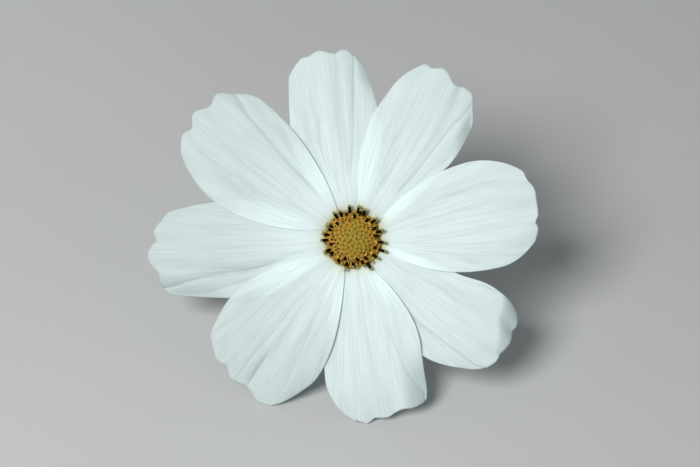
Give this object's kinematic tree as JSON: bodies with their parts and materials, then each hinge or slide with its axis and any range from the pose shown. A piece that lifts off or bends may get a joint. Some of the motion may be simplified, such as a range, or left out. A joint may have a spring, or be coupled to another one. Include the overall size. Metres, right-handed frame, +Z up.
{
  "type": "cosmos flower",
  "caption": "Single cosmos flower, picked and laid down: white notched ray petals round a yellow disc with dark anthers, on a bare cut stalk that curves down behind the head.",
  "frame": {"origin": "on the table, under the middle of the whole flower's bounding box", "axes": "+Z up from the table; +Y from the flower's face towards the cut end of the stalk; the face looks up and towards -Y, 40 degrees above level; +X is the right-hand side seen from in front"},
  "size_m": [0.0778, 0.1212, 0.0581],
  "materials": {
    "petal": "thin soft white petal tissue, fine lengthwise veins, satin",
    "disc_florets": "matt yellow florets with pollen and dark brown anther tubes",
    "inner_bract": "pale thin membranous bract, satin",
    "green_bract": "smooth green leaf tissue, satin",
    "green_stem": "smooth green stalk with faint lengthwise ridges"
  },
  "bodies": {
    "root": {"petal_1": "petal", "petal_2": "petal", "petal_3": "petal", "petal_4": "petal", "petal_5": "petal", "petal_6": "petal", "petal_7": "petal", "petal_8": "petal", "disc": "disc_florets", "inner_bracts": "inner_bract", "outer_bracts": "green_bract", "stem": "green_stem"}
  },
  "joints": []
}
